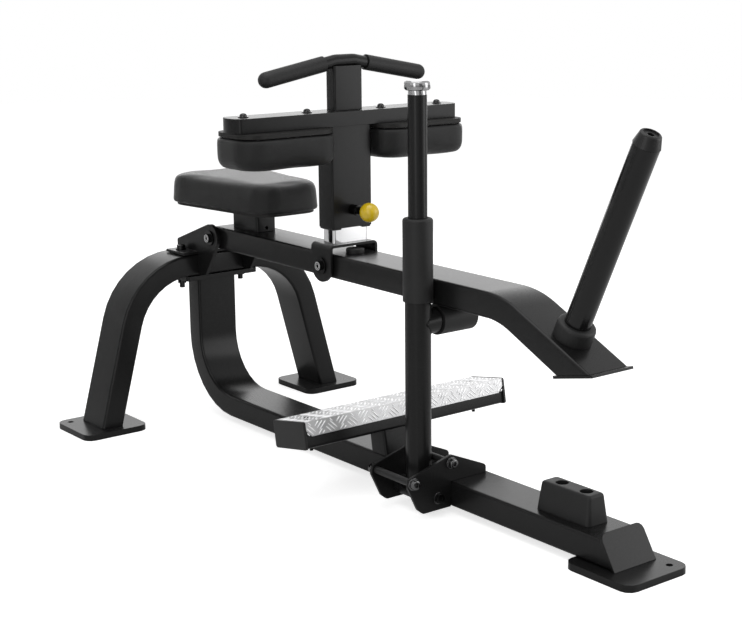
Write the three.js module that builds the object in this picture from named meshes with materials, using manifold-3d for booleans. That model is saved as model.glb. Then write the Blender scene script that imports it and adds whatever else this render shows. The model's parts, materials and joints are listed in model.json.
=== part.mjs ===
// A seated calf raise machine, in millimetres, +Z up.
// X runs across the machine, with the user's right hand on -X. The user faces -Y, where the load horn is.
// Lengths along Y are first counted from the front face of the rear upright, and the whole machine is then
// moved so that its origin lies on the floor under the middle of its outline.

import * as THREE from "three";
import { mergeVertices } from "three/addons/utils/BufferGeometryUtils.js";
import Module from "manifold-3d";

const wasm = await Module();
wasm.setup();

// Clearances that every piece shares.
const seam = 0.3;
const running = 0.3;
const overrun = 5;
const weldDepth = 1;

// Steps in round stretches.
const steps = { tube: 2, corner: 3, bend: 8, small: 12, medium: 18, large: 28, cushion: 5 };

// Rectangular steel tube of the frame.
const box = { wide: 100, deep: 50, wall: 3, corner: 6 };

// Plates that stand on the floor.
const foot = { thick: 13.2, corner: 21, hole: 6.5 };
const rearFoot = { inner: 222, outer: 374.7, back: 102, front: -49.4, holeFromSide: 24.1, holeFromBack: 24.4 };
const frontFoot = { half: 77.4, back: -1240, front: -1399, holeFromSide: 27.4, holeFromFront: 25.3 };

// Main rail, which runs along the floor and turns up at the back.
const rail = { bendRadius: 145, uprightTop: 320, capLean: 32 * THREE.MathUtils.DEG2RAD };
const railCap = { beyond: 2, thick: 5.5, foot: -1341, rise: 71, corner: 14 };
const topPlate = { beyondBolt: 15, thick: 10, corner: 6 };

// Rear arch.
const arch = { lean: 15.1 * THREE.MathUtils.DEG2RAD, bendRadius: 158, footX: 297.6, seat: 0.9 };

// Bracket that carries the lever, and its through bolts.
const pivot = { y: -78, z: 425.6, axleRadius: 12, hubRadius: 25 };
const hubBush = { wall: 3, long: 18, flange: 2, flangeRadius: 19 };
const bracket = {
  room: 6,
  thick: 8,
  flangeBeyondBolt: 23,
  flangeThick: 6,
  flangeShort: 23,
  cheekShort: 9.5,
  tailHeight: 18.5,
  tailCorner: 6,
  roundRadius: 31,
  tipForward: 28.6,
  tipDrop: 46,
  tipCorner: 5,
};
const throughBolt = { out: 15, radius: 6, head: 9.5, headHigh: 7.5, washer: 12, washerHigh: 2.5, tail: 22 };

// Round caps at the ends of both pivot pins.
const cap = { washer: 3, head: 10, headHigh: 6, ring: 7, socket: 4.2, socketDeep: 4, shank: 5, shankLong: 18 };
const leverCapRadius = 17;
const saddleCapRadius = 18;

// Lever, its foot plate and the horn.
const lever = { bendRadius: 175, bendY: -1043.7, drop: 24.8 * THREE.MathUtils.DEG2RAD };
const endPlate = {
  tilt: 12.1 * THREE.MathUtils.DEG2RAD,
  back: -1178,
  backZ: 324,
  long: 100,
  thick: 5,
  beyond: 1,
  corner: 5,
};
const horn = { y: -1175.5, radius: 24.2, wall: 3, long: 388.6, collar: 36, collarHigh: 31, collarRound: 7 };
const hornCap = {
  high: 23,
  base: 25,
  tip: 20,
  round: 5,
  recess: 14,
  recessDeep: 3,
  socket: 6,
  socketDeep: 6,
  plug: 30,
};

// Seat and its post.
const seatPost = { wide: 50, deep: 100, high: 49.3, front: -213.5, drain: 4.2, drainUp: 8 };
const seat = {
  board: 9,
  boardInset: 5,
  foam: 58.7,
  back: 18,
  front: -320,
  backHalf: 122.5,
  frontHalf: 76.6,
  backCorner: 52,
  frontCorner: 48,
};

// Tilting saddle that carries the knee pads.
const saddle = {
  y: -503,
  room: 4.5,
  thick: 5.5,
  back: -469,
  front: -537,
  overPad: 4.6,
  bend: 7,
  round: 34,
  pin: 10,
  boss: 16,
};
const stopPad = { y: -540, radius: 19, high: 9.5, round: 2 };
const heightPost = { wall: 3, corner: 5, y: -507.5, headroom: 6, holes: 7, pitch: 25, holeRadius: 5.5 };

// Knee pad carriage.
const sleeve = { up: 32.9, corner: 4 };
const bushing = { lip: 3.4, long: 100, sideWall: 2.9, faceWall: 2.4, tab: 21, tabInset: 1.5 };
const kneePad = {
  room: 4.5,
  wide: 226,
  back: -442,
  front: -577,
  corner: 43,
  overSeat: 71.5,
  foam: 62.9,
  board: 8.5,
  boardInset: 3,
};
const beam = { shy: 0.5, bow: 14, back: -476.5, front: -542.5, high: 29 };
const padScrew = { fromPadSide: 38.2, fromBeamEnd: 37.7, y: -509.5, radius: 4 };
const handlePost = { wide: 70, deep: 30, corner: 4, wall: 2.5, high: 87 };
const handle = {
  radius: 12.7,
  wall: 2,
  rise: 12.5,
  flat: 22,
  slope: 10.5 * THREE.MathUtils.DEG2RAD,
  bend: 50,
  y: -511,
};
const grip = { radius: 16, inner: 52, outer: 188.9 };

// Pop pin that locks the pad height.
const popPin = { up: 36.6, barrel: 10.8, barrelLong: 22, neck: 8, neckLong: 16, pin: 5, engage: 7.5, boreDeep: 12 };
const knob = { radius: 20, centre: 57, neck: 9 };

// Cushion forms.
const cushion = { crown: 5, tuck: 5, tuckHigh: 9, edge: 26, edgeHigh: 22, crownShares: [0.85, 0.6, 0.3] };

// Rubber block that the lever lands on.
const block = { y: -1183, long: 136, half: 27, high: 53.5, draft: 6, corner: 10, round: 6 };
const blockHole = { yShares: [-0.26, 0.195], radius: 12.5, deep: 14, shank: 5 };

// Foot bar.
const bar = { y: -664.9, z: 138.7, tilt: 10 * THREE.MathUtils.DEG2RAD, half: 250, cap: 7, plug: 15 };
const support = { y: -679.2 };
const tread = { beyond: 2, thick: 3, lip: 26, chamfer: 9 };
const barScrew = { fromEnd: 40.4, head: 8, headHigh: 4.5, radius: 4 };

// Swing catch that holds the lever up.
const pole = {
  room: 32,
  y: -846,
  z: 38,
  swing: 30 * THREE.MathUtils.DEG2RAD,
  radius: 25,
  wall: 3,
  drain: 3,
  drainUp: 40,
};
const poleHubRadius = 19;
const pivotPin = { radius: 6, head: 9, headHigh: 8, socket: 4, socketDeep: 4, tail: 10 };
const poleTop = { joint: 560, plug: 8, radius: 18, wall: 2, top: 797.7 };
const poleGrip = { bottom: 412.4, top: 570, radius: 28.8, round: 5 };
const poleCap = { neck: 17.5, neckHigh: 8, flange: 24.5, flangeHigh: 18.3, round: 6, plug: 15 };
const clamp = { thick: 6, gap: 106, short: 11.2, shortHigh: 16.5, shortCorner: 9, apexIn: 33, apexUp: 54, corner: 12 };
const clampEnd = {
  out: 70,
  up: 25.5,
  lowOut: 73,
  low: 72,
  heelOut: 49.6,
  heel: 24.4,
  toeOut: 36.5,
  toe: 14,
  corner: 6,
};
const stopRod = { radius: 7, innerZ: 101, outerAlong: 65.4 };
const roller = {
  radius: 30,
  nearRoom: 10,
  farRoom: 5,
  round: 3,
  pin: 8,
  pinRoom: 20,
  collar: 25.5,
  groove: 3,
  grooveRadius: 20,
};

// Places that follow from the sizes above.
const boxHalf = box.wide / 2;
const railBottom = foot.thick + seam;
const railMiddle = railBottom + box.deep / 2;
const railTop = railBottom + box.deep;
const uprightMiddle = box.deep / 2;
const archBottom = rail.uprightTop + seam + topPlate.thick + arch.seat;
const archMiddle = archBottom + box.deep / 2;
const archTop = archBottom + box.deep;
const archFront = uprightMiddle - boxHalf;
const archBack = uprightMiddle + boxHalf;
const flangeBottom = archTop + seam;
const flangeTop = flangeBottom + bracket.flangeThick;
const bracketInner = boxHalf + bracket.room;
const bracketOuter = bracketInner + bracket.thick;
const throughBoltX = bracketOuter + throughBolt.out;
const hubHalf = bracketInner - running - hubBush.flange - seam;
const leverTop = pivot.z + box.deep / 2;
const leverBottom = pivot.z - box.deep / 2;
const seatBottom = leverTop + seam + seatPost.high + seam;
const seatTop = seatBottom + seat.board + seam + seat.foam;
const saddleInner = boxHalf + saddle.room;
const saddleOuter = saddleInner + saddle.thick;
const saddleTop = leverTop + seam + stopPad.high + saddle.overPad + saddle.thick;
const sleeveBottom = saddleTop + sleeve.up;
const popPinHeight = sleeveBottom + popPin.up;
const postWide = box.wide - 2 * (box.wall + seam + bushing.sideWall + running);
const postDeep = box.deep - 2 * (box.wall + seam + bushing.faceWall + running);
const kneePadInner = boxHalf + kneePad.room;
const kneePadOuter = kneePadInner + kneePad.wide;
const kneePadBottom = seatTop + kneePad.overSeat;
const kneeBoardBottom = kneePadBottom + kneePad.foam + seam;
const beamHalf = kneePadOuter - beam.shy;
const beamBottom = kneeBoardBottom + kneePad.board + seam;
const beamTop = beamBottom + beam.high;
const padScrewNearX = kneePadInner + padScrew.fromPadSide;
const padScrewFarX = beamHalf - padScrew.fromBeamEnd;
const handlePostTop = beamTop + handlePost.high;
const handleMiddle = handlePostTop + handle.rise;
const treadHalf = bar.half + tread.beyond;
const barScrewX = bar.half - barScrew.fromEnd;
const poleX = -boxHalf - pole.room;
const rodReach = pole.radius + stopRod.radius + running;
const rollerZ = leverBottom - seam - roller.radius;
const rollerStart = roller.nearRoom - boxHalf;
const rollerEnd = boxHalf - roller.farRoom;
const rollerPinEnd = boxHalf - roller.pinRoom;
const catchFront = pole.y - clamp.gap / 2;
const catchBack = pole.y + clamp.gap / 2;
const machineMiddle = (rearFoot.back + frontFoot.front) / 2;

// The user faces -Y, so their left hand is on +X.
const sides = [["left", 1], ["right", -1]];

const xAxis = new THREE.Vector3(1, 0, 0);
const yAxis = new THREE.Vector3(0, 1, 0);
const zAxis = new THREE.Vector3(0, 0, 1);

// Materials.

function finish(color, roughness, metalness) {
  return new THREE.MeshStandardMaterial({ color, roughness, metalness });
}

const powderCoat = () => finish(0x232323, 0.55, 0.35);
const leather = () => finish(0x151515, 0.5, 0);
const rubber = () => finish(0x1b1b1b, 0.8, 0);
const plastic = () => finish(0x101010, 0.5, 0);
const gloss = () => finish(0x0c0c0c, 0.25, 0.2);
const chrome = () => finish(0xd8dadc, 0.08, 1);
const steel = () => finish(0x8c8e90, 0.35, 1);
const blackSteel = () => finish(0x18181a, 0.4, 0.8);
const checkerPlate = () => finish(0xb9bcbe, 0.4, 0.9);
const yellow = () => finish(0xd9a900, 0.3, 0);
const board = () => finish(0x1d1b19, 0.8, 0);

// Solids.

function welded(geometry) {
  const loose = geometry.clone();
  loose.deleteAttribute("normal");
  loose.deleteAttribute("uv");
  const merged = mergeVertices(loose);
  const index = [];
  for (let i = 0; i < merged.index.count; i += 3) {
    const [a, b, c] = [merged.index.getX(i), merged.index.getX(i + 1), merged.index.getX(i + 2)];
    if (a !== b && b !== c && c !== a) index.push(a, b, c);
  }
  merged.setIndex(index);
  return merged;
}

function signedVolume(geometry) {
  const at = geometry.attributes.position;
  const [a, b, c] = [new THREE.Vector3(), new THREE.Vector3(), new THREE.Vector3()];
  let total = 0;
  for (let i = 0; i < geometry.index.count; i += 3) {
    a.fromBufferAttribute(at, geometry.index.getX(i));
    b.fromBufferAttribute(at, geometry.index.getX(i + 1));
    c.fromBufferAttribute(at, geometry.index.getX(i + 2));
    total += a.dot(b.cross(c));
  }
  return total;
}

function facingOut(geometry) {
  const closed = welded(geometry);
  if (signedVolume(closed) < 0) {
    const index = closed.index.array;
    for (let i = 0; i < index.length; i += 3) [index[i], index[i + 1]] = [index[i + 1], index[i]];
  }
  return closed;
}

function toSolid(geometry) {
  const closed = facingOut(geometry);
  return new wasm.Manifold(
    new wasm.Mesh({
      numProp: 3,
      vertProperties: Float32Array.from(closed.attributes.position.array),
      triVerts: Uint32Array.from(closed.index.array),
    }),
  );
}

function toGeometry(solid) {
  const mesh = solid.getMesh();
  const geometry = new THREE.BufferGeometry();
  geometry.setAttribute("position", new THREE.BufferAttribute(Float32Array.from(mesh.vertProperties), 3));
  geometry.setIndex(new THREE.BufferAttribute(Uint32Array.from(mesh.triVerts), 1));
  return geometry;
}

function cut(geometry, ...tools) {
  return toGeometry(tools.reduce((left, tool) => left.subtract(toSolid(tool)), toSolid(geometry)));
}

function join(...geometries) {
  return toGeometry(geometries.map(toSolid).reduce((whole, part) => whole.add(part)));
}

function overlap(first, second) {
  return toGeometry(toSolid(first).intersect(toSolid(second)));
}

// Shapes.

function roundedOutline(corners, cornerSteps = steps.corner) {
  const at = corners.map(([x, y]) => new THREE.Vector2(x, y));
  return corners.flatMap(([, , radius = 0], i) => {
    const here = at[i];
    if (radius === 0) return [here];
    const before = at.at(i - 1).clone().sub(here).normalize();
    const after = at[(i + 1) % at.length].clone().sub(here).normalize();
    const half = before.angleTo(after) / 2;
    const centre = before.clone().add(after).setLength(radius / Math.sin(half)).add(here);
    const start = before.clone().multiplyScalar(radius / Math.tan(half)).add(here);
    const side = Math.sign(before.cross(after)) * -1;
    const turn = side * (Math.PI - 2 * half);
    return Array.from({ length: cornerSteps + 1 }, (_, k) =>
      start.clone().rotateAround(centre, (turn * k) / cornerSteps),
    );
  });
}

function circle(x, y, radius, path = new THREE.Path()) {
  return path.absarc(x, y, radius, 0, 2 * Math.PI);
}

function outlined(corners, holes = [], cornerSteps = steps.corner) {
  const shape = new THREE.Shape(roundedOutline(corners, cornerSteps));
  shape.holes = holes;
  return shape;
}

function rectangle(wide, deep, corner) {
  const [x, y] = [wide / 2, deep / 2];
  return [
    [x, -y, corner],
    [x, y, corner],
    [-x, y, corner],
    [-x, -y, corner],
  ];
}

function tubeSection({ wide, deep, corner, wall }) {
  const inner = rectangle(wide - 2 * wall, deep - 2 * wall, Math.max(corner - wall, wall / 2));
  return outlined(rectangle(wide, deep, corner), [new THREE.Path(roundedOutline(inner, steps.tube))], steps.tube);
}

function roundSection(radius, wall) {
  const shape = circle(0, 0, radius, new THREE.Shape());
  if (wall) shape.holes = [circle(0, 0, radius - wall)];
  return shape;
}

// An outline in X and Y, raised from one height to another.
function upright(shape, low, high, curveSegments = steps.medium / 2) {
  const options = { depth: high - low, bevelEnabled: false, curveSegments };
  return new THREE.ExtrudeGeometry(shape, options).translate(0, 0, low);
}

// An outline in Y and Z, drawn across X.
function across(shape, low, high, curveSegments = steps.medium / 2) {
  const turned = new THREE.Matrix4().makeBasis(yAxis, zAxis, xAxis);
  return upright(shape, low, high, curveSegments).applyMatrix4(turned);
}

// An outline in X and Z, drawn along Y.
function along(shape, low, high, curveSegments = steps.medium / 2) {
  const turned = new THREE.Matrix4().makeBasis(xAxis, zAxis, yAxis.clone().negate());
  return upright(shape, -high, -low, curveSegments).applyMatrix4(turned);
}

function bar3(low, high) {
  const size = high.map((value, i) => value - low[i]);
  return new THREE.BoxGeometry(...size).translate(...low.map((value, i) => value + size[i] / 2));
}

// A profile of [radius, height] pairs turned about +Z.
function turned(profile, segments = steps.medium) {
  const points = profile.map(([radius, height]) => new THREE.Vector2(radius, height));
  return new THREE.LatheGeometry(points, segments).rotateX(Math.PI / 2);
}

function rod(radius, low, high, segments = steps.medium) {
  return turned([[0, low], [radius, low], [radius, high], [0, high]], segments);
}

function ring(outer, inner, low, high, segments = steps.medium) {
  return turned([[outer, low], [outer, high], [inner, high], [inner, low], [outer, low]], segments);
}

// Points of a quarter circle that turns from straight out to straight up.
function quarter(x, y, radius, count = steps.corner) {
  return Array.from({ length: count + 1 }, (_, k) => {
    const angle = (Math.PI / 2) * (k / count);
    return [x + radius * Math.cos(angle), y + radius * Math.sin(angle)];
  });
}

const ontoX = (geometry) => geometry.rotateY(Math.PI / 2);
const ontoFront = (geometry) => geometry.rotateX(Math.PI / 2);

// A path that passes exactly through its stations, with round bends between straight runs.
// It lies in the plane square to its side vector, and a section's own X stays along that vector.
class Route extends THREE.Curve {
  constructor(side, corners, radius, bendSteps = steps.bend) {
    super();
    this.side = side;
    this.stations = corners.flatMap((here, i) =>
      Route.stationsAt(corners[i - 1], here, corners[i + 1], radius, bendSteps),
    );
  }

  static stationsAt(before, here, after, radius, bendSteps) {
    const ahead = after?.clone().sub(here).normalize();
    const behind = before && here.clone().sub(before).normalize();
    if (!before || !after) return [{ point: here, tangent: ahead ?? behind }];
    const turn = behind.angleTo(ahead);
    const axis = behind.clone().cross(ahead).normalize();
    const start = here.clone().addScaledVector(behind, -radius * Math.tan(turn / 2));
    const inward = axis.clone().cross(behind).multiplyScalar(radius);
    const centre = start.clone().add(inward);
    return Array.from({ length: bendSteps + 1 }, (_, k) => {
      const angle = (turn * k) / bendSteps;
      const point = inward.clone().negate().applyAxisAngle(axis, angle).add(centre);
      return { point, tangent: behind.clone().applyAxisAngle(axis, angle) };
    });
  }

  station(share) {
    return this.stations[Math.round(share * (this.stations.length - 1))];
  }

  getPointAt(share) {
    return this.station(share).point.clone();
  }

  computeFrenetFrames() {
    const tangents = this.stations.map(({ tangent }) => tangent.clone());
    const normals = tangents.map(() => this.side.clone());
    const binormals = tangents.map((tangent) => tangent.clone().cross(this.side));
    return { tangents, normals, binormals };
  }
}

function swept(shape, route, curveSegments = steps.medium / 2) {
  return new THREE.ExtrudeGeometry(shape, {
    steps: route.stations.length - 1,
    extrudePath: route,
    curveSegments,
  });
}

// Rings of equal length joined into one closed skin, with a fan over each end.
function lofted(rings) {
  const count = rings[0].length;
  const middle = (points) => points.reduce((sum, p) => sum.add(p), new THREE.Vector3()).divideScalar(count);
  const points = [...rings.flat(), middle(rings[0]), middle(rings.at(-1))];
  const index = [];
  const [first, last] = [points.length - 2, points.length - 1];
  const top = (rings.length - 1) * count;
  for (let i = 0; i < count; i += 1) {
    const next = (i + 1) % count;
    index.push(first, next, i, last, top + i, top + next);
    for (let row = 0; row < top; row += count) {
      index.push(row + i, row + next, row + count + next, row + i, row + count + next, row + count + i);
    }
  }
  const geometry = new THREE.BufferGeometry().setFromPoints(points);
  geometry.setIndex(index);
  return geometry;
}

// Pieces and their place in the tree.

const machine = new THREE.Group();
machine.position.y = -machineMiddle;

function piece(name, geometry, material, parent = machine) {
  const closed = facingOut(geometry);
  closed.computeVertexNormals();
  const mesh = new THREE.Mesh(closed, material);
  mesh.name = name;
  parent.add(mesh);
  return mesh;
}

// Floor plates.

function makeFootPlates() {
  const wide = rearFoot.outer - rearFoot.inner;
  const deep = rearFoot.back - rearFoot.front;
  const [x, y] = [(rearFoot.outer + rearFoot.inner) / 2, (rearFoot.back + rearFoot.front) / 2];
  for (const [side, sign] of sides) {
    const hole = circle(sign * (wide / 2 - rearFoot.holeFromSide), deep / 2 - rearFoot.holeFromBack, foot.hole);
    const shape = outlined(rectangle(wide, deep, foot.corner), [hole]);
    piece(`rear_foot_plate_${side}`, upright(shape, 0, foot.thick), powderCoat()).position.set(sign * x, y, 0);
  }
  const long = frontFoot.back - frontFoot.front;
  const hole = circle(frontFoot.half - frontFoot.holeFromSide, frontFoot.holeFromFront - long / 2, foot.hole);
  const front = outlined(rectangle(2 * frontFoot.half, long, foot.corner), [hole]);
  const mesh = piece("front_foot_plate", upright(front, 0, foot.thick), powderCoat());
  mesh.position.y = (frontFoot.back + frontFoot.front) / 2;
}

// The cap's back face, as a frame whose Z points forwards and down out of the rail.
function onCapPlane(geometry) {
  return geometry.rotateX(Math.PI / 2 - rail.capLean).translate(0, railCap.foot, railBottom);
}

function throughBoltHoles(y = 0) {
  return [-1, 1].map((sign) => circle(sign * throughBoltX, y, throughBolt.radius + seam));
}

function makeRail() {
  const route = new Route(
    xAxis,
    [
      new THREE.Vector3(0, railCap.foot - overrun, railMiddle),
      new THREE.Vector3(0, uprightMiddle, railMiddle),
      new THREE.Vector3(0, uprightMiddle, rail.uprightTop),
    ],
    rail.bendRadius,
  );
  const reach = box.wide;
  const beyondCap = onCapPlane(bar3([-reach, -reach, -railCap.thick - seam], [reach, 2 * reach, reach]));
  piece("main_rail", cut(swept(tubeSection(box), route), beyondCap), powderCoat());

  const half = boxHalf + railCap.beyond;
  const face = outlined([
    [-half, -overrun],
    [half, -overrun],
    [half, railCap.rise, railCap.corner],
    [-half, railCap.rise, railCap.corner],
  ]);
  const slab = onCapPlane(upright(face, -railCap.thick, 0));
  const floor = bar3([-reach, railCap.foot - reach, railBottom - reach], [reach, railCap.foot + reach, railBottom]);
  piece("rail_front_cap", cut(slab, floor), powderCoat());

  const plateWide = 2 * (throughBoltX + topPlate.beyondBolt);
  const plate = outlined(rectangle(plateWide, box.wide, topPlate.corner), throughBoltHoles());
  const low = rail.uprightTop + seam;
  piece("upright_top_plate", upright(plate, low, low + topPlate.thick), powderCoat()).position.y = uprightMiddle;
}

function makeArch() {
  const kneeX = arch.footX - (archMiddle - railBottom) * Math.tan(arch.lean);
  const lowX = arch.footX + overrun * Math.tan(arch.lean) * 2;
  const lowZ = railBottom - overrun * 2;
  const route = new Route(
    yAxis,
    [
      new THREE.Vector3(-lowX, uprightMiddle, lowZ),
      new THREE.Vector3(-kneeX, uprightMiddle, archMiddle),
      new THREE.Vector3(kneeX, uprightMiddle, archMiddle),
      new THREE.Vector3(lowX, uprightMiddle, lowZ),
    ],
    arch.bendRadius,
  );
  const reach = rearFoot.outer;
  const floor = bar3([-reach, -reach, -reach], [reach, reach, railBottom]);
  const bolt = rod(throughBolt.radius + seam, archBottom - overrun, archTop + overrun);
  const bolts = [-1, 1].map((sign) => bolt.clone().translate(sign * throughBoltX, uprightMiddle, 0));
  piece("rear_arch", cut(swept(tubeSection(box), route), floor, ...bolts), powderCoat());
}

// Lever bracket.

function bracketSide() {
  const tail = flangeTop + bracket.tailHeight;
  const tip = archTop - bracket.tipDrop;
  const centre = new THREE.Vector2(pivot.y, pivot.z);
  const tangentAngle = (y, z, side) => {
    const away = new THREE.Vector2(y, z).sub(centre);
    return away.angle() + side * Math.acos(bracket.roundRadius / away.length());
  };
  const cheekBack = archBack - bracket.cheekShort;
  const tipY = archFront - bracket.tipForward;
  const start = tangentAngle(cheekBack, tail, 1);
  const end = tangentAngle(tipY, tip, -1);
  const turn = THREE.MathUtils.euclideanModulo(end - start, 2 * Math.PI);
  const round = Array.from({ length: steps.medium + 1 }, (_, k) => {
    const angle = start + (turn * k) / steps.medium;
    return [centre.x + bracket.roundRadius * Math.cos(angle), centre.y + bracket.roundRadius * Math.sin(angle)];
  });
  return outlined(
    [
      [archFront - seam, flangeTop - weldDepth],
      [cheekBack, flangeTop - weldDepth],
      [cheekBack, tail, bracket.tailCorner],
      ...round,
      [tipY, tip, bracket.tipCorner],
      [archFront - seam, tip],
    ],
    [circle(pivot.y, pivot.z, pivot.axleRadius + running)],
  );
}

function makeBracket() {
  const half = throughBoltX + bracket.flangeBeyondBolt;
  const back = archBack - bracket.flangeShort;
  const flange = outlined(
    [
      [-half, archFront - seam],
      [half, archFront - seam],
      [half, back],
      [-half, back],
    ],
    throughBoltHoles(uprightMiddle),
  );
  const cheeks = [-bracketOuter, bracketInner].map((x) => across(bracketSide(), x, x + bracket.thick));
  piece("pivot_bracket", join(upright(flange, flangeBottom, flangeTop), ...cheeks), powderCoat());
}

function makeThroughBolts() {
  const { radius, head, headHigh, washer, washerHigh, tail } = throughBolt;
  const foot = flangeTop + seam;
  const bottom = rail.uprightTop + seam - tail;
  const bolt = turned([
    [0, bottom],
    [radius, bottom],
    [radius, foot],
    [washer, foot],
    [washer, foot + washerHigh],
    [head, foot + washerHigh],
    [head, foot + washerHigh + headHigh],
    [0, foot + washerHigh + headHigh],
  ]);
  for (const [side, sign] of sides) {
    piece(`bracket_bolt_${side}`, bolt.clone(), blackSteel()).position.set(sign * throughBoltX, uprightMiddle, 0);
  }
}

// Pin, caps and hub of a pivot along X.

function pinCap(radius) {
  const { washer, head, headHigh, ring: rim, socket, socketDeep, shank, shankLong } = cap;
  const face = washer + headHigh;
  return turned(
    [
      [0, -shankLong],
      [shank, -shankLong],
      [shank, 0],
      [radius, 0],
      [radius, washer],
      [head, washer],
      [head, face],
      [rim, face],
      [rim, face - seam],
      [socket, face - seam],
      [socket, face - socketDeep],
      [0, face - socketDeep],
    ],
    steps.medium,
  );
}

function pinWithTappedEnds(radius, half) {
  const { shank, shankLong } = cap;
  const deep = half - shankLong - overrun;
  return turned([
    [0, -deep],
    [shank + seam, -deep],
    [shank + seam, -half],
    [radius, -half],
    [radius, half],
    [shank + seam, half],
    [shank + seam, deep],
    [0, deep],
  ]);
}

function makePin(name, y, radius, capRadius, half) {
  piece(name, ontoX(pinWithTappedEnds(radius, half)), steel()).position.set(0, y, pivot.z);
  const end = ontoX(pinCap(capRadius).translate(0, 0, half + seam));
  for (const [side, sign] of sides) {
    piece(`${name}_cap_${side}`, end.clone().scale(sign, 1, 1), blackSteel()).position.set(0, y, pivot.z);
  }
}

// Lever.

const dropTangent = new THREE.Vector3(0, -Math.cos(lever.drop), -Math.sin(lever.drop));
const dropNormal = new THREE.Vector3(0, -Math.sin(lever.drop), Math.cos(lever.drop));

function leverCorner() {
  return new THREE.Vector3(0, lever.bendY + (box.deep / 2) * Math.tan(lever.drop / 2), pivot.z);
}

// A frame whose origin is the back lower edge of the end plate, with +Y running back along the plate.
function onEndPlate(geometry) {
  return geometry.rotateX(-endPlate.tilt).translate(0, endPlate.back, endPlate.backZ);
}

function makeLever() {
  const corner = leverCorner();
  const end = corner.clone().addScaledVector(dropTangent, 3 * box.wide);
  const start = new THREE.Vector3(0, pivot.y, pivot.z);
  const tube = swept(tubeSection(box), new Route(xAxis, [start, corner, end], lever.bendRadius));
  const reach = 4 * box.wide;
  const belowPlate = onEndPlate(bar3([-reach, -reach, -reach], [reach, reach, endPlate.thick + seam]));
  const behindHub = bar3([-reach, pivot.y, -reach], [reach, reach, reach]);
  const arm = cut(tube, belowPlate, behindHub);
  const onPin = (y, radius, half) => ontoX(rod(radius, -half, half, steps.large)).translate(0, y, pivot.z);
  const hub = onPin(pivot.y, pivot.hubRadius, hubHalf);
  const boss = onPin(saddle.y, saddle.boss, saddleInner - running);
  const bore = onPin(pivot.y, pivot.axleRadius + running + hubBush.wall + seam, reach);
  const pinHole = onPin(saddle.y, saddle.pin + running, reach);
  piece("lever_arm", cut(join(arm, hub, boss), bore, pinHole), powderCoat());
}

function makeHubBushes() {
  const { wall, long, flange, flangeRadius } = hubBush;
  const inner = pivot.axleRadius + running;
  const face = hubHalf + seam;
  const shape = ontoX(
    turned([
      [inner, face - long],
      [inner + wall, face - long],
      [inner + wall, face],
      [flangeRadius, face],
      [flangeRadius, face + flange],
      [inner, face + flange],
      [inner, face - long],
    ]),
  );
  for (const [side, sign] of sides) {
    const mesh = piece(`lever_hub_bush_${side}`, shape.clone().scale(sign, 1, 1), plastic());
    mesh.position.set(0, pivot.y, pivot.z);
  }
}

function makeEndPlate() {
  const half = boxHalf + endPlate.beyond;
  const plate = outlined([
    [-half, -endPlate.long],
    [half, -endPlate.long],
    [half, 0, endPlate.corner],
    [-half, 0, endPlate.corner],
  ]);
  piece("lever_end_plate", onEndPlate(upright(plate, 0, endPlate.thick)), powderCoat());
}

// A group that stands on the sloping end of the lever, with +Z along the horn.
function hornGroup() {
  const base = new THREE.Group();
  const corner = leverCorner();
  const reach = (corner.y - horn.y + (box.deep / 2) * dropNormal.y) / -dropTangent.y;
  base.position.copy(corner.addScaledVector(dropTangent, reach).addScaledVector(dropNormal, box.deep / 2 + seam));
  base.rotation.x = lever.drop;
  machine.add(base);
  return base;
}

function makeHorn() {
  const base = hornGroup();
  const { radius, wall, long, collar, collarHigh, collarRound } = horn;
  piece("horn_tube", ring(radius, radius - wall, 0, long, steps.large), gloss(), base);
  const rounding = quarter(collar - collarRound, collarHigh - collarRound, collarRound);
  const bore = radius + seam;
  const collarShape = turned([[bore, 0], [collar, 0], ...rounding, [bore, collarHigh], [bore, 0]], steps.large);
  piece("horn_collar", collarShape, rubber(), base);
  const { high, base: wide, tip, round, recess, recessDeep, socket, socketDeep, plug } = hornCap;
  const bottom = long + seam;
  const top = bottom + high;
  piece(
    "horn_end_cap",
    turned(
      [
        [0, bottom - plug],
        [radius - wall - seam, bottom - plug],
        [radius - wall - seam, bottom],
        [wide, bottom],
        ...quarter(tip - round, top - round, round),
        [recess, top],
        [recess, top - recessDeep],
        [socket, top - recessDeep],
        [socket, top - recessDeep - socketDeep],
        [0, top - recessDeep - socketDeep],
      ],
      steps.large,
    ),
    plastic(),
    base,
  );
}

// Cushions.

// One ring of a cushion: its outline drawn in by an inset, at a height, shrunk about its middle by a share.
function cushionRing(outline, inset, height, share = 1) {
  const points = roundedOutline(outline(inset), steps.cushion);
  const centre = points.reduce((sum, p) => sum.add(p), new THREE.Vector2()).divideScalar(points.length);
  return points.map((p) => {
    const drawn = p.clone().sub(centre).multiplyScalar(share).add(centre);
    return new THREE.Vector3(drawn.x, drawn.y, height);
  });
}

// A padded form from its flat back at one height to its crown at another, either way up.
function padded(outline, flat, crowned) {
  const up = Math.sign(crowned - flat);
  const { crown, tuck, tuckHigh, edge, edgeHigh, crownShares } = cushion;
  const shoulder = crowned - up * crown;
  const quarterSteps = steps.cushion;
  const rings = [];
  for (let k = 0; k <= steps.corner; k += 1) {
    const angle = (Math.PI / 2) * (k / steps.corner);
    rings.push(cushionRing(outline, tuck * (1 - Math.sin(angle)), flat + up * tuckHigh * (1 - Math.cos(angle))));
  }
  for (let k = 0; k <= quarterSteps; k += 1) {
    const angle = (Math.PI / 2) * (k / quarterSteps);
    const height = shoulder - up * edgeHigh * (1 - Math.sin(angle));
    rings.push(cushionRing(outline, edge * (1 - Math.cos(angle)), height));
  }
  for (const share of crownShares) {
    rings.push(cushionRing(outline, edge, shoulder + up * crown * (1 - share * share), share));
  }
  return lofted(rings);
}

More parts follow.
